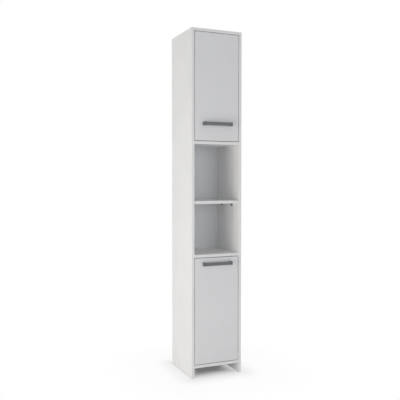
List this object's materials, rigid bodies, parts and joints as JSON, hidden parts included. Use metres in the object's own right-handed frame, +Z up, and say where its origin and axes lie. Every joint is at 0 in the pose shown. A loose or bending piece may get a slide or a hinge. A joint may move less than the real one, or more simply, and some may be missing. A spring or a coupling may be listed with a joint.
{
  "type": "tall bathroom cabinet",
  "caption": "Tall narrow free-standing bathroom cabinet in white board, with a hinged door above and below and an open shelf compartment between them.",
  "frame": {"origin": "on the floor, at the middle of the width and the middle of the whole depth with the handles", "axes": "+Z up; the doors face -Y; +X is to the right of a person who faces the doors"},
  "size_m": [0.3, 0.325, 1.9],
  "materials": {
    "white_board": "white melamine-faced particle board, fine satin texture, banded edges",
    "door_front": "white foil-faced board, slightly greyer and smoother than the carcass",
    "white_back": "thin hardboard, painted white inside and left brown behind",
    "handle_bar_grey": "dark grey satin paint on cast metal",
    "handle_post_grey": "dark grey satin paint, a shade darker than the bar",
    "nickel_steel": "nickel-plated pressed steel",
    "screw_steel": "bright zinc-plated steel",
    "zinc_cam": "die-cast zinc, dull",
    "dowel_wood": "plain beech",
    "support_grey": "dark grey moulded plastic shelf support",
    "glide_plastic": "white nylon",
    "white_plastic": "white moulded plastic",
    "magnet_black": "black ferrite magnet"
  },
  "bodies": {
    "carcass": {"left_side_panel": "white_board", "right_side_panel": "white_board", "top_panel": "white_board", "bottom_panel": "white_board", "upper_fixed_shelf": "white_board", "lower_fixed_shelf": "white_board", "back_panel": "white_back", "open_shelf": "white_board", "upper_cupboard_shelf": "white_board", "lower_cupboard_shelf": "white_board", "open_shelf_supports": "support_grey", "upper_cupboard_shelf_supports": "support_grey", "lower_cupboard_shelf_supports": "support_grey", "cam_locks": "zinc_cam", "cam_bolts": "zinc_cam", "wood_dowels": "dowel_wood", "floor_glides": "glide_plastic", "wall_bracket": "nickel_steel", "wall_bracket_screws": "screw_steel", "hinge_arm_screws": "screw_steel", "hinge_plate_screws": "screw_steel", "hinge_arm_pins": "screw_steel", "upper_magnet_catch": "white_plastic", "lower_magnet_catch": "white_plastic", "catch_magnets": "magnet_black", "catch_screws": "screw_steel", "upper_door_bottom_hinge_arm": "nickel_steel", "upper_door_bottom_hinge_plate": "nickel_steel", "upper_door_top_hinge_arm": "nickel_steel", "upper_door_top_hinge_plate": "nickel_steel", "lower_door_bottom_hinge_arm": "nickel_steel", "lower_door_bottom_hinge_plate": "nickel_steel", "lower_door_top_hinge_arm": "nickel_steel", "lower_door_top_hinge_plate": "nickel_steel"},
    "upper_door_leaf": {"upper_door": "door_front", "upper_handle_bar": "handle_bar_grey", "upper_handle_posts": "handle_post_grey", "upper_handle_screws": "screw_steel", "upper_door_bottom_hinge_cup": "nickel_steel", "upper_door_top_hinge_cup": "nickel_steel", "upper_hinge_cup_screws": "screw_steel", "upper_strike_plate": "nickel_steel", "upper_strike_screws": "screw_steel"},
    "upper_hinge_links": {"upper_door_bottom_hinge_link": "nickel_steel", "upper_door_top_hinge_link": "nickel_steel"},
    "lower_door_leaf": {"lower_door": "door_front", "lower_handle_bar": "handle_bar_grey", "lower_handle_posts": "handle_post_grey", "lower_handle_screws": "screw_steel", "lower_door_bottom_hinge_cup": "nickel_steel", "lower_door_top_hinge_cup": "nickel_steel", "lower_hinge_cup_screws": "screw_steel", "lower_strike_plate": "nickel_steel", "lower_strike_screws": "screw_steel"},
    "lower_hinge_links": {"lower_door_bottom_hinge_link": "nickel_steel", "lower_door_top_hinge_link": "nickel_steel"}
  },
  "joints": [
    {"name": "upper_door_swing", "type": "hinge", "parent": "carcass", "child": "upper_door_leaf", "pos_m": [0.133, -0.1385, 1.58925], "axis": [0, 0, 1], "range_deg": [0, 95]},
    {"name": "upper_link_turn", "type": "hinge", "parent": "carcass", "child": "upper_hinge_links", "pos_m": [0.121, -0.1165, 1.58925], "axis": [0, 0, 1], "range_deg": [0, 48]},
    {"name": "lower_door_swing", "type": "hinge", "parent": "carcass", "child": "lower_door_leaf", "pos_m": [0.133, -0.1385, 0.36575], "axis": [0, 0, 1], "range_deg": [0, 95]},
    {"name": "lower_link_turn", "type": "hinge", "parent": "carcass", "child": "lower_hinge_links", "pos_m": [0.121, -0.1165, 0.36575], "axis": [0, 0, 1], "range_deg": [0, 48]}
  ],
  "couplings": [
    {"joint": "upper_link_turn", "follows": "upper_door_swing", "ratio": 0.5},
    {"joint": "lower_link_turn", "follows": "lower_door_swing", "ratio": 0.5}
  ]
}
